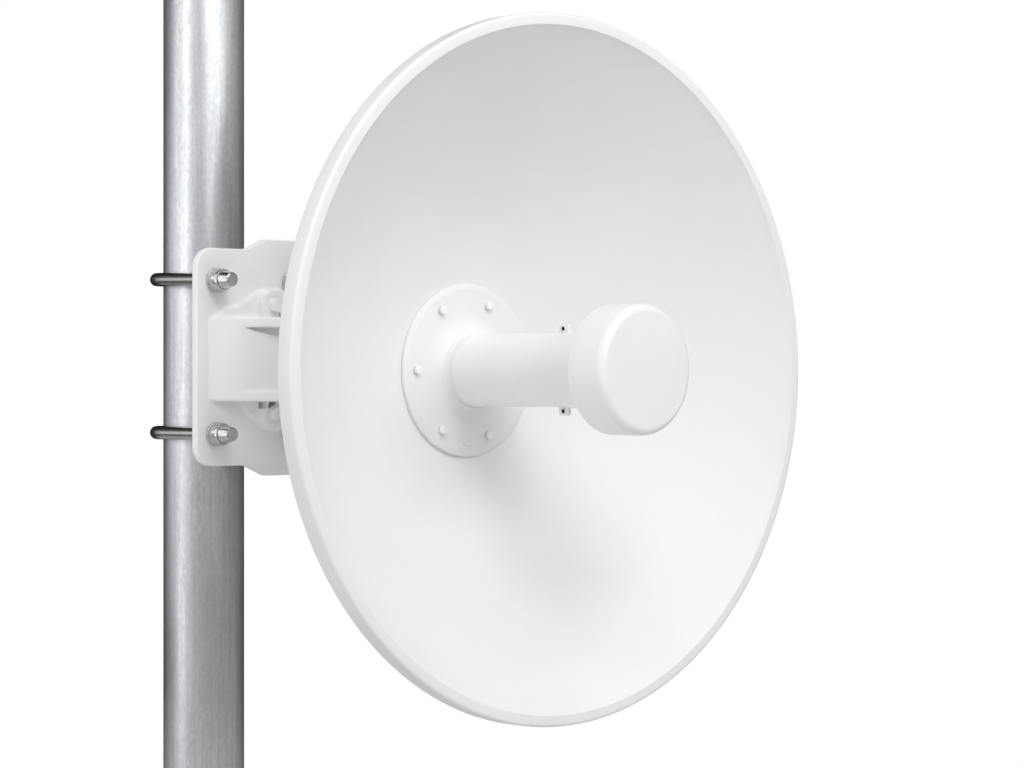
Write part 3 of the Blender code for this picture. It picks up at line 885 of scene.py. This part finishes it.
def bent_rod(radius, reach, end):
    """A rod round the back of the pole, with both legs ending at this height on local Z."""
    bm = bmesh.new()
    ring = bmesh.ops.create_circle(bm, segments=28, radius=radius)["verts"]
    bmesh.ops.translate(bm, verts=ring, vec=(reach, 0, end))
    leg = bmesh.ops.extrude_edge_only(bm, edges=bm.edges[:])["geom"]
    bmesh.ops.translate(bm, verts=only(bmesh.types.BMVert, leg), vec=(0, 0, -end))
    turning = only((bmesh.types.BMVert, bmesh.types.BMEdge), leg)
    bend = bmesh.ops.spin(
        bm, geom=turning, cent=(0, 0, 0), axis=(0, 1, 0), angle=math.pi, steps=48, use_merge=False
    )["geom_last"]
    leg = bmesh.ops.extrude_edge_only(bm, edges=only(bmesh.types.BMEdge, bend))["geom"]
    bmesh.ops.translate(bm, verts=only(bmesh.types.BMVert, leg), vec=(0, 0, end))
    bmesh.ops.holes_fill(bm, edges=bm.edges[:])
    return tidy(bm)


def threaded_end(radius, pitch, length):
    """A helical thread with a chamfered end, from local Z = 0 up to the length."""
    root = radius - pitch * 0.52
    steps = 40
    turns = int(length / pitch) + 3
    bm = bmesh.new()
    profile = (
        (root, 0.0), (root, 0.14), (radius, 0.46), (radius, 0.56), (root, 0.88), (root, 1.0),
    )
    points = [bm.verts.new((r, 0, pitch * share - 1.5 * pitch)) for r, share in profile]
    edges = [bm.edges.new(pair) for pair in zip(points, points[1:])]
    bmesh.ops.spin(
        bm, geom=points + edges, cent=(0, 0, 0), axis=(0, 0, 1), dvec=(0, 0, pitch / steps),
        angle=math.tau * turns, steps=steps * turns, use_merge=False,
    )
    bmesh.ops.remove_doubles(bm, verts=bm.verts, dist=WELD)
    for height, outer in ((0.0, False), (length, True)):
        bmesh.ops.bisect_plane(
            bm, geom=everything(bm), plane_co=(0, 0, height), plane_no=(0, 0, 1),
            clear_outer=outer, clear_inner=not outer,
        )
    bmesh.ops.holes_fill(bm, edges=bm.edges[:])
    tidy(bm)
    chamfer = 0.0004
    wide = radius + 0.001
    envelope = [
        (0, -0.001), (wide, -0.001), (wide, length - chamfer - 0.001), (radius - chamfer, length),
        (0, length),
    ]
    return carve(bm, lathe(envelope, 64), "INTERSECT")


def lock_nut():
    """A round-bodied nut with a rounded shoulder and a tapered locking end, standing on local Z = 0."""
    bore = 0.0061
    body_r = 0.0109
    shoulder = 0.0108
    end = 0.0219
    corners = [
        (bore, 0, 0), (body_r, 0, 0.0005), (body_r, 0.0035, 0.0030), (0.0101, 0.0085, 0.0030),
        (0.0095, shoulder, 0.0006), (0.0089, shoulder, 0), (0.0086, shoulder - 0.0006, 0),
        (0.0087, shoulder + 0.0006, 0.0004), (0.0064, end, 0.0003), (bore, end, 0),
    ]
    return turned(corners, 5, 96, closed=True)


# The cast arm, in places (x, up) and heights forward of the pole's axis

ARM_BACK = back_of("offset_arm") - GAP * 0.8
ARM_ROOT = ARM_BACK - 0.004
ARM_DROP = -0.002
ARM_HALF = 0.039
ARM_END = -0.0537
ARM_END_ROUND = 0.0085
ARM_EDGE = 0.0024
BEYOND = 0.2
RIB_WIDE = 0.0098
RIB_TIP = 0.1585
RIBS = ((-0.0600, ARM_ROOT), (-0.0235, 0.0918), (0.0860, RIB_TIP), (0.1200, RIB_TIP), (0.0700, ARM_ROOT))
WALL = (
    (-0.0600, ARM_ROOT, 0), (-0.0240, 0.0914, 0.0500), (0.0940, 0.1170, 0), (0.1040, 0.1100, 0),
    (0.0100, ARM_ROOT, 0),
)
WALL_HALF = ARM_HALF - 0.002
PAD_X = 0.032
PAD_R = 0.066
PAD_FRONT = 0.0808
RIDGE = (
    (-0.0480, 0.0330), (-0.0480, 0.0388), (-0.0364, 0.0464), (-0.0206, 0.0508), (-0.0074, 0.0573),
    (0.0032, 0.0633), (0.0110, 0.0655), (0.0200, 0.0600), (0.0200, 0.0330),
)
RING_R = 0.074
RING_HOLE_R = 0.040
RING_BACK = 0.1565
BOSS_CIRCLE_R = 0.0535
BOSSES = (
    polar(BOSS_CIRCLE_R, 111, PAD_X + 0.003, ARM_DROP), polar(BOSS_CIRCLE_R, 249, PAD_X + 0.003, ARM_DROP),
    polar(BOSS_CIRCLE_R, 0, PAD_X, ARM_DROP),
)
BOSS_SEAT = 0.0860
BOSS_R = 0.0150
BOSS_LIP = 0.0873
BOSS_LIP_R = 0.0152
BOSS_BORE_R = 0.0095
ARM_BOLT_ACROSS = 0.0108
ARM_BOLT_HEIGHT = 0.0055
ARM_WASHER_R = 0.0074
ARM_WASHER_TOP = 0.0879
SCALLOP_R = 0.0155
CUT_TOP = 0.101
POCKETS = (
    ((0.0012, -0.0475), (0.0060, -0.0412)), ((0.0082, -0.0468), (0.0175, -0.0412)),
    ((0.0205, 0.0374), (0.0350, 0.0410)),
)
POCKET_FLOOR = 0.0775
RELIEF = (
    (-0.0220, 0.0292), (-0.0136, 0.0262), (-0.0005, 0.0234), (0.0168, 0.0196), (0.0600, 0.0100),
    (0.0600, 0.0292),
)
RELIEF_PLAN = ((-0.0300, 0.0836), (0.0940, 0.1128), (0.0940, 0.17), (-0.0300, 0.17))


class MakeArm(AntennaOperator, bpy.types.Operator):
    """Fuses the cast arm from its pad, ribs, wall, bosses and ring, and puts in its bolts"""

    bl_idname = "antenna.make_arm"
    bl_label = "Cast arm"

    def execute(self, context):
        body = fused(merged(*arm_forms()), self.sizes.cast_cell, self.sizes.cast_rounds, ARM_BACK)
        for cut in arm_cuts():
            body = carve(body, cut, "DIFFERENCE")
        self.coated("cast_arm", body, ["offset_arm"], ON_CLAMP, 60)
        heads = []
        for (x, y), angle in zip(BOSSES, (12, 35, 50)):
            seat = at(x, y, ARM_WASHER_TOP - 0.0001) @ spun(angle)
            heads.append(moved(bolt_head(ARM_BOLT_ACROSS, ARM_BOLT_HEIGHT), seat))
            washer = sheet(circle(ARM_WASHER_R, 48), BOSS_SEAT - 0.001, ARM_WASHER_TOP, (), 0.0005, 2)
            heads.append(shifted(washer, x, y))
        self.screw_coated("arm_bolt_heads", merged(*heads), numbered("arm_bolt", 3), ON_CLAMP)
        return {"FINISHED"}


def arm_forms():
    """The closed shapes that the casting is fused from."""
    half = ARM_HALF
    face = rounded(
        [
            (BEYOND, half, 0), (BEYOND, -half, 0), (ARM_END, -half, ARM_END_ROUND),
            (ARM_END, half, ARM_END_ROUND),
        ],
        8,
    )
    bars = [
        block(RIBS, half - RIB_WIDE, half), block(RIBS, -half, RIB_WIDE - half),
        block(rounded(WALL, 8), -WALL_HALF, WALL_HALF),
    ]
    bars = [carve(bar, sheet(face, ARM_ROOT - 0.001, BEYOND), "INTERSECT") for bar in bars]
    forms = [shifted(soft_edged(bar, ARM_EDGE), y=ARM_DROP) for bar in bars]
    pad = sheet(circle(PAD_R, 96), ARM_ROOT, PAD_FRONT, (), 0.0035, 3)
    forms.append(shifted(pad, PAD_X, ARM_DROP))
    ridge = carve(sheet(RIDGE, ARM_ROOT, PAD_FRONT, (), 0.0030, 3), block(RIBS, 0.0, 0.08), "INTERSECT")
    forms.append(shifted(ridge, y=ARM_DROP))
    ring = sheet(circle(RING_R, 96), RING_BACK, front_of("offset_arm"), [circle(RING_HOLE_R, 72)])
    forms.append(shifted(ring, DISH_CENTRE.x, DISH_CENTRE.z - CLAMP_CENTRE.z))
    for x, y in BOSSES:
        forms.append(shifted(sheet(circle(BOSS_R, 48), ARM_ROOT, BOSS_SEAT), x, y))
        lip = sheet(circle(BOSS_LIP_R, 64), ARM_ROOT, BOSS_LIP, [circle(BOSS_BORE_R, 48)])
        forms.append(shifted(lip, x, y))
    return forms


def arm_cuts():
    """The scallops for the right nuts, the pockets beside two bosses and the relief under a rib."""
    cuts = []
    for up in (-1, 1):
        cuts.append(shifted(sheet(circle(SCALLOP_R, 48), ARM_ROOT, CUT_TOP), ROD_X, up * UBOLT_RISE))
    for (left, low), (right, high) in POCKETS:
        cuts.append(sheet([(left, low), (right, low), (right, high), (left, high)], POCKET_FLOOR, CUT_TOP))
    relief = carve(block(RELIEF_PLAN, 0.0, ARM_HALF), sheet(RELIEF, ARM_ROOT, BEYOND), "INTERSECT")
    return [*cuts, shifted(relief, y=ARM_DROP)]


FLANGE_FACE = 0.1965
NECK_R = 0.0350
NECK_SWEEP = 0.0190
NECK_RISE = 0.0081
SCREW_R = 0.0041
SCREW_HEIGHT = 0.0044
SCREW_SIDE = 0.0021


class MakeFeedFlange(AntennaOperator, bpy.types.Operator):
    """Spins the flange in the middle of the dish and puts in its screws and plug"""

    bl_idname = "antenna.make_feed_flange"
    bl_label = "Feed flange"

    def execute(self, context):
        radius, back, front = turned_size("feed_flange")
        end = front + GAP
        tube_r = half_width("feed_tube")
        brim = [
            (0, back, 0), (radius, back, 0.0004), (radius, back + 0.0036, 0.0008),
            (radius - 0.0050, FLANGE_FACE, 0.0060), (NECK_R + NECK_SWEEP, FLANGE_FACE, 0),
        ]
        outline = rounded(brim, 6, closed=False)
        for step in range(1, 13):
            x, y = polar(1, 90 * step / 12)
            outline.append((NECK_R + NECK_SWEEP * (1 - y), FLANGE_FACE + NECK_RISE * (1 - x)))
        outline += [(tube_r, FLANGE_FACE + NECK_RISE + 0.0001), (tube_r, end), (0, end)]
        # The flange and plug use the feed's own plastic made 5 % darker: painted shade that tones the flange
        # down from the tube's brightness. The higher roughness is its own finish.
        plastic = moulded_plastic("flange_plastic_painted_shade", [0.95 * share for share in self.colours.feed], 0.52)
        piece("flange_disc", lathe(outline, 144), plastic, ["feed_flange"], ON_DISH)
        nodes = numbered("flange_screw", 6)
        heads = [on_flange(dome_head(SCREW_R, SCREW_HEIGHT), node) for node in nodes]
        self.screw_coated("flange_screw_heads", merged(*heads), nodes, ON_DISH)
        wide = SCREW_R + 0.00004
        side = [(0, 0), (wide, 0), (wide, SCREW_SIDE), (0, SCREW_SIDE)]
        sides = [on_flange(lathe(side, 40), node) for node in nodes]
        steel = plated_steel("screw_side_steel", (0.72, 0.72, 0.72), 0.5, 0.2)
        piece("flange_screw_sides", merged(*sides), steel, [], ON_DISH)
        button = [
            (0, 0, 0), (0.0053, 0, 0), (0.0053, 0.0010, 0.0005), (0.0040, 0.0010, 0.0004),
            (0.0036, 0.0006, 0.0003), (0, 0.0006, 0),
        ]
        plug = on_flange(turned(button, 3, 40), "flange_plug")
        piece("flange_plug_button", plug, plastic, ["flange_plug"], ON_DISH)
        return {"FINISHED"}


def on_flange(shape, node):
    """The shape, moved from local zero to the node's place on the flange's face."""
    place = middle(node) - DISH_CENTRE
    return shifted(shape, place.x, place.z, FLANGE_FACE + 0.0001)


def dome_head(radius, height):
    """A coated round screw head whose recess is filled by the coat."""
    corners = [
        (0, 0, 0), (radius, 0, 0), (radius, height * 0.62, 0.0005), (radius * 0.84, height, 0.0012),
        (0, height, 0),
    ]
    return turned(corners, 6, 40)


def cup_screw(radius, height, depth):
    """A small screw whose deep round recess faces local +Z."""
    hollow = radius * 0.72
    under = -depth - 0.0003
    corners = [
        (0, under, 0), (radius, under, 0), (radius, height, 0.0002), (hollow, height, 0.0001),
        (hollow, -depth, 0), (0, -depth, 0),
    ]
    return turned(corners, 3, 32)


TUBE_WALL = 0.003
LUG_LENGTH = 0.0125
LUG_REACH = 0.0412
LUG_MIDDLE = 0.0372
LUG_HALF_THICK = 0.0020
LUG_HOLE_R = 0.0020
LUG_SCREW = (0.0018, 0.0005, 0.0012)
SLEEVE_WALL = 0.0014


class MakeFeed(AntennaOperator, bpy.types.Operator):
    """Makes the feed tube, the collar with its two lugs and screws, and the cap"""

    bl_idname = "antenna.make_feed"
    bl_label = "Feed tube and cap"

    def execute(self, context):
        radius, back, front = turned_size("feed_tube")
        bore = radius - TUBE_WALL
        tube = lathe([(bore, back), (radius, back), (radius, front), (bore, front)], 112, closed=True)
        self.moulded("feed_pipe", tube, ["feed_tube"])
        inside = radius + 0.0001
        outside = inside + SLEEVE_WALL
        back, front = back_of("feed_collar"), front_of("feed_collar")
        outline = [(inside, back), (inside + 0.0004, back), (outside, front), (inside, front)]
        shapes = [lathe(outline, 112, closed=True)]
        shapes += [collar_lug(outside, back, up) for up in (1, -1)]
        self.moulded("feed_sleeve", merged(*shapes), ["feed_collar"])
        # Near-black steel for the lug screws: partly their own black finish, partly painted shade for the
        # hole each sits in.
        dark_steel_and_shade = plated_steel("lug_screw_steel_and_shade", (0.10, 0.10, 0.10), 0.45, 0.5)
        for number, up in ((1, 1), (2, -1)):
            head = moved(cup_screw(*LUG_SCREW), lug_seat(back, up))
            piece(f"lug_screw_head_{number}", head, dark_steel_and_shade, [f"lug_screw_{number}"], ON_DISH)
        radius, back, front = turned_size("feed_cap")
        corners = [
            (0, back, 0), (radius - 0.0012, back, 0.001), (radius, back + 0.0016, 0.001),
            (radius, front, self.sizes.cap_round), (0, front, 0),
        ]
        self.moulded("feed_cap_shell", turned(corners, 10, 144), ["feed_cap"])
        return {"FINISHED"}


def lug_seat(back, up):
    """The place of the screw on the lug above or below the collar."""
    return at(-LUG_HALF_THICK, up * LUG_MIDDLE, back + LUG_LENGTH / 2) @ spun(-90, "Y")


def collar_lug(root, back, up):
    """An upright ear above or below the collar, with a raised ring round its screw."""
    foot = root - 0.002
    ear = [(0, foot, 0), (0, LUG_REACH, 0.0030), (LUG_LENGTH, LUG_REACH, 0.0030), (LUG_LENGTH, foot, 0)]
    hole = circle(LUG_HOLE_R, 32, LUG_LENGTH / 2, LUG_MIDDLE)
    tab = sheet(rounded(ear, 6), -LUG_HALF_THICK, LUG_HALF_THICK, [hole], 0.0006, 3)
    wide = LUG_HOLE_R + 0.0010
    corners = [
        (LUG_HOLE_R, -0.0008, 0), (wide, -0.0008, 0), (wide, 0.0006, 0.0004), (LUG_HOLE_R, 0.0006, 0.0003),
    ]
    turn = Matrix(((0, 0, 1, 0), (0, up, 0, 0), (1, 0, 0, back), (0, 0, 0, 1)))
    ring = turned(corners, 3, 32, closed=True)
    return outward(merged(moved(tab, turn), moved(ring, lug_seat(back, up))))


class MakeFeedBoss(AntennaOperator, bpy.types.Operator):
    """Makes the feed's stub behind the dish and its two threaded sockets"""

    bl_idname = "antenna.make_feed_boss"
    bl_label = "Feed boss"

    def execute(self, context):
        radius, back, front = turned_size("feed_boss")
        groove = radius - 0.0012
        dent = back + 0.0015
        corners = [
            (0, dent, 0), (radius - 0.006, dent, 0.0006), (radius - 0.007, back, 0.0006),
            (radius, back, 0.002), (radius, back + 0.022, 0.0006), (groove, back + 0.0232, 0.0006),
            (groove, back + 0.0252, 0.0006), (radius, back + 0.0264, 0.0006), (radius, front, 0),
            (0, front, 0),
        ]
        self.coated("feed_stub", turned(corners, 4, 96), ["feed_boss"], ON_DISH)
        nickel = plated_steel("nickel_plating", self.colours.sockets[:], 0.24, 0.5)
        for side in ("left", "right"):
            node = "connector_" + side
            socket = shifted(rf_socket(node), middle(node).x - DISH_CENTRE.x)
            piece("socket_" + side, socket, nickel, [node], ON_DISH)
        return {"FINISHED"}


def rf_socket(node):
    """A threaded coaxial socket with its flange, bore and centre pin."""
    end = back_of(node)
    seat = front_of(node)
    collar = seat - 0.006
    pitch = 0.00106
    bore = 0.0045
    root = 0.0074
    crest = 0.0080
    outline = [(0, end + 0.008), (bore, end + 0.008), (bore, end), (root, end), (0.0078, end + 0.0005)]
    reach = end + 0.0010
    while reach + pitch < collar - 0.002:
        outline += [(crest, reach), (crest, reach + pitch * 0.2), (root, reach + pitch * 0.6)]
        reach += pitch
    outline += [(root, collar), (0.0110, collar), (0.0110, seat), (0, seat)]
    nut = shifted(sheet(hexagon(0.0190, 0.0107), 0, 0.0022, (), 0.0003, 2), z=collar - 0.0021)
    pin = [
        (0, end + 0.0075), (0.0008, end + 0.0075), (0.0008, end + 0.003), (0.0005, end + 0.0022),
        (0, end + 0.002),
    ]
    return merged(lathe(outline, 64), nut, lathe(pin, 20))


# The studio. A panel has its degrees round from the front, distance, width, low and high end, and power.
# A glow of the sky has its degrees round from the front and up, its sharpness and its strength.

PANELS = (
    ("left_panel_1", -88, 1.7, 0.4, 0.8, 2.2, 5.2),
    ("left_panel_2", -103, 1.7, 0.4, 0.8, 2.2, 0.9),
    ("left_panel_3", -118, 1.7, 0.4, 0.8, 2.2, 3.0),
    ("left_panel_4", -135, 1.7, 0.4, 0.3, 1.3, 1.1),
    ("left_panel_low", -103, 1.7, 0.8, -0.1, 0.8, 2.9),
    ("left_panel_back", -150, 1.7, 0.8, 0.3, 1.1, 0.75),
    ("front_panel_1", -26, 2.4, 0.75, 0.8, 1.6, 1.3),
    ("front_panel_2", -8, 2.4, 0.75, 0.9, 1.6, 4.1),
    ("front_panel_3", 10, 2.4, 0.75, 1.0, 1.6, 6.2),
    ("side_panel", -75, 2.2, 1.0, 1.5, 2.8, 3.9),
    ("key_panel_far", -20, 2.6, 1.2, 2.2, 3.2, 22.7),
    ("key_panel_near", -15, 1.7, 1.4, 2.3, 3.3, 20.9),
)
SKY = (
    (0, 65, 14, 0.64), (35, 32, 14, 0.61), (-90, 0, 5, 0.55), (60, 45, 5, 0.387), (0, -45, 5, 0.38),
    (0, 32, 14, 0.329), (60, 65, 14, 0.317), (60, -45, 5, 0.23), (-45, 0, 5, 0.34), (45, 0, 5, 0.212),
    (-135, 0, 5, 0.16), (-35, 32, 14, 0.19), (-120, -45, 5, 0.05),
)
CAMERA_PLACE = (-1.5891, -2.0785, 0.5873)
CAMERA_TURN = -43.802
CAMERA_LENS = 96.56
WHITE = (1.0, 1.0, 1.0, 1.0)


class MakeStudio(AntennaOperator, bpy.types.Operator):
    """Sets up the pale floor, the soft lights, the white surround and the camera"""

    bl_idname = "antenna.make_studio"
    bl_label = "Studio"

    def execute(self, context):
        scene = context.scene
        studio = scene.antenna_studio
        scene.view_settings.view_transform = "Standard"
        make_floor(studio.floor_radius)
        make_surround(scene, studio.sky_strength)
        for panel in PANELS:
            panel_light(*panel, studio.panel_power)
        camera = bpy.data.cameras.new("camera")
        camera.lens = CAMERA_LENS
        camera.sensor_width = 36.0
        camera.clip_end = 100.0
        holder = linked("camera", camera)
        holder.location = CAMERA_PLACE
        holder.rotation_euler = (math.pi / 2, 0, math.radians(CAMERA_TURN))
        scene.camera = holder
        return {"FINISHED"}


def panel_light(name, azimuth, distance, width, low, high, power, share):
    """An upright panel of light that faces the pole, azimuth degrees round from the front."""
    lamp = bpy.data.lights.new(name, "AREA")
    lamp.shape = "RECTANGLE"
    lamp.size = width
    lamp.size_y = high - low
    lamp.energy = power * share
    holder = linked(name, lamp)
    outward = round_from_front(azimuth, 0)
    holder.location = outward * distance + Vector((0, 0, (low + high) / 2))
    holder.rotation_euler = (-outward).to_track_quat("-Z", "Y").to_euler()
    holder.visible_camera = False


def round_from_front(azimuth, elevation):
    """The direction this many degrees round from the front, and up."""
    turn = math.radians(azimuth)
    up = math.radians(elevation)
    return Vector((math.sin(turn) * math.cos(up), -math.cos(turn) * math.cos(up), math.sin(up)))


def make_floor(radius):
    """A round pale floor whose edge fades out."""
    bm = bmesh.new()
    bmesh.ops.create_circle(bm, cap_ends=True, segments=96, radius=radius)
    floor = made_object("studio_floor", bm)
    mix = Recipe("studio_floor", 0.8)
    speck = mix.noise(30.0, 3.0, 0.5)
    base = mix.mixed(speck, tint((0.80, 0.80, 0.80)), tint((0.84, 0.84, 0.84)))
    reach = mix.node("ShaderNodeVectorMath", {"operation": "LENGTH"}, {0: mix.place}, "Value")
    mix.feed(mix.shader.inputs["Alpha"], mix.mapped(reach, radius * 0.45, radius * 0.98, 1.0, 0.0))
    floor.data.materials.append(mix.finish(base))


def make_surround(scene, share):
    """A white surround for the camera, and soft light from several sides for the surfaces."""
    world = bpy.data.worlds.new("studio_surround")
    world.use_nodes = True
    scene.world = world
    mix = NodeMaker(world.node_tree)
    world.node_tree.nodes.clear()
    place = mix.node("ShaderNodeTexCoord", {}, {}, "Generated")
    glow = 0.0
    for azimuth, elevation, sharpness, strength in SKY:
        towards = round_from_front(azimuth, elevation)
        inputs = {0: place, 1: towards}
        along = mix.node("ShaderNodeVectorMath", {"operation": "DOT_PRODUCT"}, inputs, "Value")
        lobe = mix.node("ShaderNodeMath", {"operation": "EXPONENT"}, {0: (along - 1.0) * sharpness})
        glow = lobe * (strength * share) + glow
    light = mix.node("ShaderNodeBackground", {}, {"Color": WHITE, "Strength": glow})
    seen = mix.node("ShaderNodeBackground", {}, {"Color": WHITE, "Strength": 1.0})
    camera_ray = mix.node("ShaderNodeLightPath", {}, {}, "Is Camera Ray")
    choice = mix.node("ShaderNodeMixShader", {}, {0: camera_ray, 1: light, 2: seen})
    mix.node("ShaderNodeOutputWorld", {}, {"Surface": choice})


class AntennaPanel(bpy.types.Panel):
    """Lists the antenna's pieces, sizes and colours"""

    bl_idname = "VIEW3D_PT_antenna"
    bl_label = "Dish antenna"
    bl_space_type = "VIEW_3D"
    bl_region_type = "UI"
    bl_category = "Antenna"

    def draw(self, context):
        layout = self.layout
        for operator in OPERATORS:
            layout.operator(operator.bl_idname)
        scene = context.scene
        for group in (scene.antenna_sizes, scene.antenna_colours, scene.antenna_studio):
            box = layout.box()
            for name in group.__annotations__:
                box.prop(group, name)


OPERATORS = (
    MakePole, MakeFoot, MakeClampPlate, MakeUBolts, MakeArm, MakeHub, MakeDish, MakeFeedFlange, MakeFeed,
    MakeFeedBoss, MakeStudio,
)
GROUPS = (AntennaSizes, AntennaColours, AntennaStudio)


def register():
    for cls in (*GROUPS, *OPERATORS, AntennaPanel):
        bpy.utils.register_class(cls)
    bpy.types.Scene.antenna_sizes = PointerProperty(type=AntennaSizes)
    bpy.types.Scene.antenna_colours = PointerProperty(type=AntennaColours)
    bpy.types.Scene.antenna_studio = PointerProperty(type=AntennaStudio)


def unregister():
    for name in ("antenna_sizes", "antenna_colours", "antenna_studio"):
        delattr(bpy.types.Scene, name)
    for cls in reversed((*GROUPS, *OPERATORS, AntennaPanel)):
        bpy.utils.unregister_class(cls)


def main():
    register()
    bpy.ops.antenna.make_pole()
    bpy.ops.antenna.make_foot()
    bpy.ops.antenna.make_clamp_plate()
    bpy.ops.antenna.make_ubolts()
    bpy.ops.antenna.make_arm()
    bpy.ops.antenna.make_hub()
    bpy.ops.antenna.make_dish()
    bpy.ops.antenna.make_feed_flange()
    bpy.ops.antenna.make_feed()
    bpy.ops.antenna.make_feed_boss()
    bpy.ops.antenna.make_studio()


if __name__ == "__main__":
    main()
